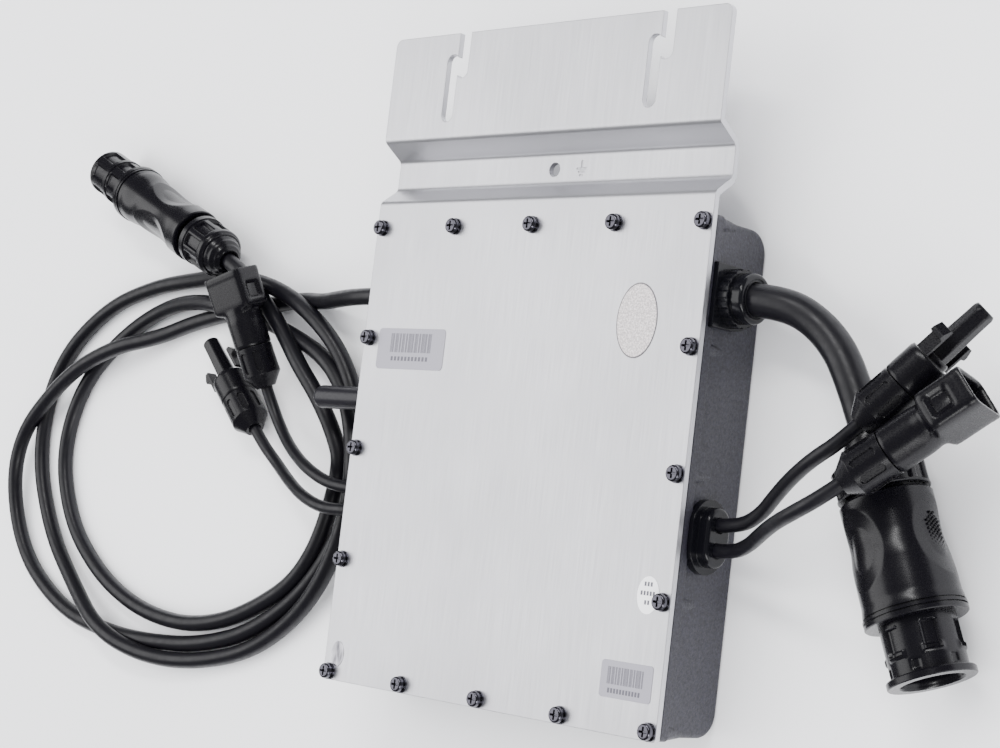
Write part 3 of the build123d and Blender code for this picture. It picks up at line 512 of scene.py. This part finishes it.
BARREL = [(10, 0.6, 0.6, "round"), (10, 7.6, 7.6, "round"), (23, 7.6, 7.6, "round")]
BARREL += [(23, 9.5, 9.5, "round"), (23.8, 10, 10, "round")]
MOUTH = BARREL + [(37, 10, 10, "round"), (42, 10.6, 9.4, "round"), (45, 13.5, 9.1, "block")]
MOUTH += [(47, 13.9, 9.2, "block"), (61, 13.9, 9.2, "block"), (61.6, 14.0, 9.3, "block")]
MOUTH += [(64.4, 14.0, 9.3, "block"), (65.0, 13.6, 8.9, "block"), (65.0, 12.8, 8.0, "block")]
MOUTH += [(64.2, 12.3, 7.5, "block"), (47.0, 12.2, 7.4, "block"), (47.0, 0.6, 0.6, "round")]
PROBE = BARREL + [(36.6, 10, 10, "round"), (38.0, 9.5, 9.5, "round"), (38.0, 7.4, 7.4, "round")]
PROBE += [(38.4, 7.0, 7.0, "round"), (40.2, 6.9, 6.9, "round"), (40.9, 6.4, 6.4, "round")]
PROBE += [(40.9, 5.5, 5.5, "hex"), (65.4, 5.1, 5.1, "hex"), (66.6, 4.5, 4.5, "round")]
PROBE += [(67.0, 4.1, 4.1, "round"), (66.9, 3.1, 3.1, "round"), (66.0, 2.7, 2.7, "round")]
PROBE += [(42.0, 2.7, 2.7, "round"), (42.0, 0.6, 0.6, "round")]
for connector, back, front, roll in (
    ("outlet_socket", (0.194, 0.0256, 0.0468), (0.2325, 0.0706, 0.0318), 90),
    ("outlet_pin", (0.195, 0.001, 0.0563), (0.2433, 0.0404, 0.0433), 90),
    ("inlet_pin", (-0.2096, 0.0304, 0.016), (-0.2262, 0.087, 0.036), 0),
    ("inlet_socket", (-0.2206, 0.0074, 0.011), (-0.2666, 0.0524, 0.011), 0),
):
    axis = Axis(back, front, roll)
    if connector.endswith("pin"):
        housing = moulded_piece("solar_" + connector + "_housing", axis, MOUTH, latch_windows)
    else:
        housing = moulded_piece("solar_" + connector + "_housing", axis, PROBE)
    housing.data.set_sharp_from_angle(angle=SHARP_EDGE)
    stand_in("dc_" + connector + "_housing")


# ---- Generic print: bars and small blocks on the labels, no letters ----
def flat_marks(name, marks, height, material):
    """Thin printed rectangles (x, y, width, length) at one height, as one piece."""
    form = bmesh.new()
    for x, y, width, length in marks:
        ends = [(x - width / 2, y - length / 2), (x + width / 2, y - length / 2)]
        ends += [(x + width / 2, y + length / 2), (x - width / 2, y + length / 2)]
        form.faces.new([form.verts.new((a, b, height)) for a, b in ends])
    return finish_piece(name, form, material, smooth=False)


def label_print():
    """Bars and blocks on the two serial labels, and blocks on the inspection sticker."""
    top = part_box("serial_labels")[1][2] + 0.03 * MM
    marks = []
    # Each label: left edge and middle line of its bars, bar length, row below, pitch and count.
    for left, middle, length, row, pitch, count in (
        (-86 * MM, 53.2 * MM, 9.4 * MM, 45.4 * MM, 0.62 * MM, 46),
        (76 * MM, -89.6 * MM, 7.6 * MM, -96.2 * MM, 0.46 * MM, 44),
    ):
        for bar in range(count):
            share = 0.5 + 0.5 * sin(bar * 12.9898) * cos(bar * 4.1414)
            if share > 0.28:
                marks.append((left + bar * pitch, middle, pitch * (0.25 + 0.6 * share), length))
        for block in range(11):
            marks.append((left + (block + 0.7) * pitch * count / 11.8, row, 1.5 * pitch * 1.6, 2.1 * MM))
    # The inspection sticker: three short rows of small blocks.
    for row, count in ((-48.4 * MM, 3), (-52.4 * MM, 5), (-56.4 * MM, 2)):
        for block in range(count):
            marks.append((93.2 * MM + (block - (count - 1) / 2) * 1.7 * MM, row, 1.1 * MM, 1.9 * MM))
    ink = plain("label_ink", "#54525C", 0.5)
    flat_marks("label_print", marks, top, ink)


label_print()


# ---- Cords ----
def cord_curve(name, points, diameter):
    """A cable along one smooth spline through its route."""
    curve = bpy.data.curves.new(name, "CURVE")
    curve.dimensions = "3D"
    curve.bevel_depth = diameter / 2
    curve.bevel_resolution = 6
    curve.resolution_u = 10
    curve.use_fill_caps = True
    spline = curve.splines.new("NURBS")
    spline.points.add(len(points) - 1)
    for point, place in zip(spline.points, points):
        point.co = (*place, 1.0)
    spline.order_u = 3
    spline.use_endpoint_u = True
    curve.materials.append(MATERIALS["cable_jacket"])
    cord = bpy.data.objects.new(name, curve)
    bpy.context.collection.objects.link(cord)
    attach(cord, "inverter")
    return cord


def spline_length(points):
    """The length of the order-3 curve that these points control, near enough."""
    middles = [points[0]]
    middles += [tuple((a + b) / 2 for a, b in zip(p, q)) for p, q in zip(points[1:], points[2:-1])]
    middles.append(points[-1])
    return sum((Vector(b) - Vector(a)).length for a, b in zip(middles, middles[1:]))


OUTLET_CABLE = [
    (0.1050, 0.0795, 0.0242),
    (0.1320, 0.0795, 0.0242),
    (0.1545, 0.0682, 0.0205),
    (0.1720, 0.0469, 0.0214),
    (0.1878, 0.01034, 0.0214),
]
OUTLET_LEAD_A = [
    (0.1045, -0.0200, 0.0242),
    (0.1220, -0.0200, 0.0242),
    (0.1370, -0.0140, 0.0288),
    (0.1495, -0.0045, 0.0358),
    (0.1625, 0.0035, 0.0433),
    (0.1755, 0.0108, 0.0488),
    (0.1877, 0.0182, 0.04925),
    (0.20024, 0.03289, 0.04437),
]
OUTLET_LEAD_B = [
    (0.1045, -0.0310, 0.0242),
    (0.1205, -0.0310, 0.0242),
    (0.1345, -0.0275, 0.0318),
    (0.1470, -0.0225, 0.0413),
    (0.1600, -0.0175, 0.0508),
    (0.1740, -0.0123, 0.0573),
    (0.1874, -0.0052, 0.0583),
    (0.2025, 0.00712, 0.05428),
]
INLET_LEAD_A = [
    (-0.1045, -0.0200, 0.0242),
    (-0.1220, -0.0200, 0.0242),
    (-0.1408, -0.0184, 0.0248),
    (-0.1595, -0.0123, 0.0230),
    (-0.1775, -0.0042, 0.0185),
    (-0.1936, 0.0059, 0.0139),
    (-0.2069, 0.0213, 0.0128),
    (-0.21224, 0.03939, 0.01918),
]
INLET_LEAD_B = [
    (-0.1045, -0.0310, 0.0242),
    (-0.1220, -0.0310, 0.0242),
    (-0.1418, -0.0317, 0.0248),
    (-0.1610, -0.0268, 0.0230),
    (-0.1795, -0.0192, 0.0178),
    (-0.1966, -0.0106, 0.0124),
    (-0.2135, 0.0004, 0.0110),
    (-0.22768, 0.01432, 0.0110),
]
INLET_CABLE_START = [
    (-0.1060, 0.0795, 0.0242),
    (-0.1310, 0.0795, 0.0242),
    (-0.1550, 0.0792, 0.0180),
    (-0.1795, 0.0783, 0.0095),
    (-0.2036, 0.0804, 0.0045),
]
INLET_CABLE_END = [
    (-0.1506, -0.0096, 0.0070),
    (-0.1576, 0.0094, 0.0105),
    (-0.1696, 0.0274, 0.0140),
    (-0.1866, 0.0439, 0.0155),
    (-0.2041, 0.0614, 0.0140),
    (-0.2236, 0.0789, 0.0145),
    (-0.2427, 0.0964, 0.02067),
    (-0.26094, 0.10418, 0.0200),
]
# The coil: how far each turn lies from the middle, sixteen steps a turn, anticlockwise from
# the far right corner, and where one turn climbs over another (degrees along, half width).
COIL_MIDDLE = (-0.2936, -0.0146)
COIL_REACH_MM = [
    [131, 95, 81, 77, 90, 117, 160, 158, 133, 111, 103, 108, 123, 143, 157, 155],
    [136, 116, 106, 110, 124, 140, 139, 125, 111, 110, 112, 118, 134, 153, 163, 148],
    [113, 97, 93, 94, 98, 109, 113, 104, 93, 88, 89, 97, 111, 134],
]
COIL_START = 45.0
COIL_STEP = 22.5
COIL_CLIMBS = [(150, 44), (412, 40), (608, 30), (720, 32), (788, 32)]
INLET_CABLE_DIAMETER = 0.009


def coil_points():
    """The coil's turns as one run of points, from the first turn to the last."""
    reaches = [reach * MM for turn in COIL_REACH_MM for reach in turn]
    points = []
    for step, reach in enumerate(reaches[1:], start=1):
        along = COIL_START + step * COIL_STEP
        height = INLET_CABLE_DIAMETER / 2
        for middle, half_width in COIL_CLIMBS:
            share = max(0.0, 1 - abs(along - middle) / half_width)
            height += INLET_CABLE_DIAMETER * 1.05 * min(1.0, 1.6 * share)
        x = COIL_MIDDLE[0] + reach * cos(radians(along))
        y = COIL_MIDDLE[1] + reach * sin(radians(along))
        points.append((x, y, height))
    return points


def declare_cord(name, points, diameter, replaced):
    """Makes a cord, hides the CAD nodes that it replaces, and works out its length without keeping it."""
    cord = cord_curve(name, points, diameter)
    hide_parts(*replaced)
    round(spline_length(points), 3)
    return cord


# The grip dots are on the AC socket's body, at this cord's end.
declare_cord(
    "outlet_cable", OUTLET_CABLE, 0.015, ["ac_outlet_cable"],
)
inlet_points = INLET_CABLE_START + coil_points() + INLET_CABLE_END
inlet_nodes = ["ac_inlet_cable_start", "ac_inlet_cable_coil", "ac_inlet_cable_end"]
declare_cord(
    "inlet_cable", inlet_points, INLET_CABLE_DIAMETER, inlet_nodes
)
for lead, route, connector in (
    ("dc_outlet_lead_a", OUTLET_LEAD_A, "dc_outlet_socket"),
    ("dc_outlet_lead_b", OUTLET_LEAD_B, "dc_outlet_pin"),
    ("dc_inlet_lead_a", INLET_LEAD_A, "dc_inlet_pin"),
    ("dc_inlet_lead_b", INLET_LEAD_B, "dc_inlet_socket"),
):
    declare_cord(lead.replace("dc_", "solar_"), route, 0.0064, [lead])


# ---- Studio: a pale flat floor, and soft lights ----
def make_floor():
    mesh = bpy.data.meshes.new("floor")
    reach = 6.0
    corners = [(-reach, -reach, 0), (reach, -reach, 0), (reach, reach, 0), (-reach, reach, 0)]
    mesh.from_pydata(corners, [], [(0, 1, 2, 3)])
    mesh.materials.append(plain("floor_paper", "#F4F4F5", 0.9))
    floor = bpy.data.objects.new("floor", mesh)
    bpy.context.collection.objects.link(floor)


def make_light(name, place, target, size, power, colour="#FFFFFF"):
    light = bpy.data.lights.new(name, "AREA")
    light.energy = power
    light.shape = "RECTANGLE"
    light.size = size[0]
    light.size_y = size[1]
    light.color = srgb(colour)[:3]
    lamp = bpy.data.objects.new(name, light)
    lamp.location = place
    lamp.rotation_euler = (Vector(target) - Vector(place)).to_track_quat("-Z", "Y").to_euler()
    bpy.context.collection.objects.link(lamp)


make_floor()
make_light("plate_panel", (-1.25, 0.14, 1.35), (0.0, 0.03, 0.04), (1.5, 1.5), 26)
make_light("top_strip", (0.25, 0.9, 1.1), (0.0, 0.0, 0.0), (1.2, 0.2), 14)
make_light("right_edge", (1.0, -0.75, 0.6), (0.15, 0, 0.02), (0.2, 0.9), 12)


def make_world():
    """Bright for the floor and the shadows, dim in reflections, so black parts stay black."""
    world = bpy.data.worlds.new("studio")
    world.use_nodes = True
    tree = world.node_tree
    sky = tree.nodes["Background"]
    sky.inputs[0].default_value = srgb("#F1F2F6")
    rays = tree.nodes.new("ShaderNodeLightPath")
    level = tree.nodes.new("ShaderNodeMapRange")
    level.inputs["To Min"].default_value = 2.1
    level.inputs["To Max"].default_value = 0.22
    tree.links.new(rays.outputs["Is Glossy Ray"], level.inputs["Value"])
    tree.links.new(level.outputs["Result"], sky.inputs[1])
    bpy.context.scene.world = world


make_world()
